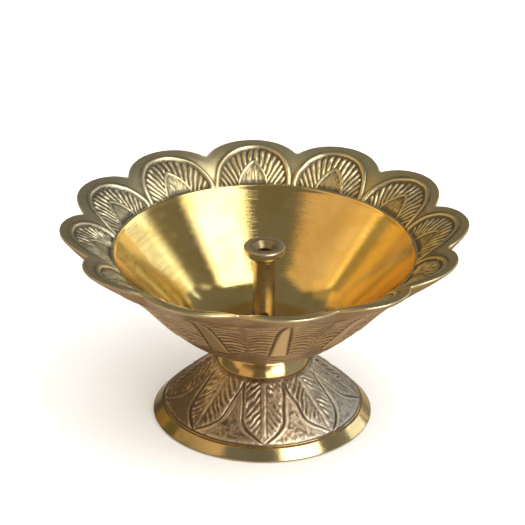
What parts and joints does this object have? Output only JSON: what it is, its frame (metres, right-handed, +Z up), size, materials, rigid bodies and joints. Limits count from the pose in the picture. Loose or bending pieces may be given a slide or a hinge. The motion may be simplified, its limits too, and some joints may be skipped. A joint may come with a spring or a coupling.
{
  "type": "diya oil lamp",
  "caption": "Brass lotus-shaped diya oil lamp: a scalloped petal bowl with a turned inside and a central wick post, on a hollow leaf-patterned cone foot.",
  "frame": {"origin": "middle of the circle the foot stands on", "axes": "+Z up along the lamp's axis, from the foot through the wick post; -Y is the front, and +X is to the right of it"},
  "size_m": [0.0998, 0.0998, 0.051],
  "materials": {
    "foot_brass": "antiqued cast brass, dark in the recesses, polished round the edge",
    "bowl_brass": "mirror-polished inside, antiqued cast relief on the petals and outside",
    "post_brass": "turned brass, slightly dulled",
    "seal_fibre": "matt vulcanised fibre",
    "plated_steel": "bright zinc plate",
    "nut_brass": "bright machined brass"
  },
  "bodies": {
    "foot": {"foot": "foot_brass"},
    "bowl": {"bowl": "bowl_brass"},
    "oil_seal": {"oil_seal": "seal_fibre"},
    "wick_post": {"wick_post": "post_brass"},
    "clamp_washer": {"clamp_washer": "plated_steel"},
    "clamp_nut": {"clamp_nut": "nut_brass"}
  },
  "joints": [
    {"name": "bowl_lift", "type": "slide", "parent": "foot", "child": "bowl", "axis": [0, 0, 1], "range_m": [0, 0.012]},
    {"name": "seal_lift", "type": "slide", "parent": "bowl", "child": "oil_seal", "axis": [0, 0, 1], "range_m": [0, 0.022]},
    {"name": "post_turn", "type": "hinge", "parent": "oil_seal", "child": "wick_post", "pos_m": [0, 0, 0.0244], "axis": [0, 0, 1], "continuous": true},
    {"name": "washer_drop", "type": "slide", "parent": "foot", "child": "clamp_washer", "axis": [0, 0, -1], "range_m": [0, 0.0056]},
    {"name": "nut_turn", "type": "hinge", "parent": "clamp_washer", "child": "clamp_nut", "pos_m": [0, 0, 0.0078], "axis": [0, 0, -1], "range_deg": [0, 2520]}
  ],
  "couplings": [
    {"joint": "nut_turn", "follows": "washer_drop", "rad_per_m": 7853.9}
  ]
}
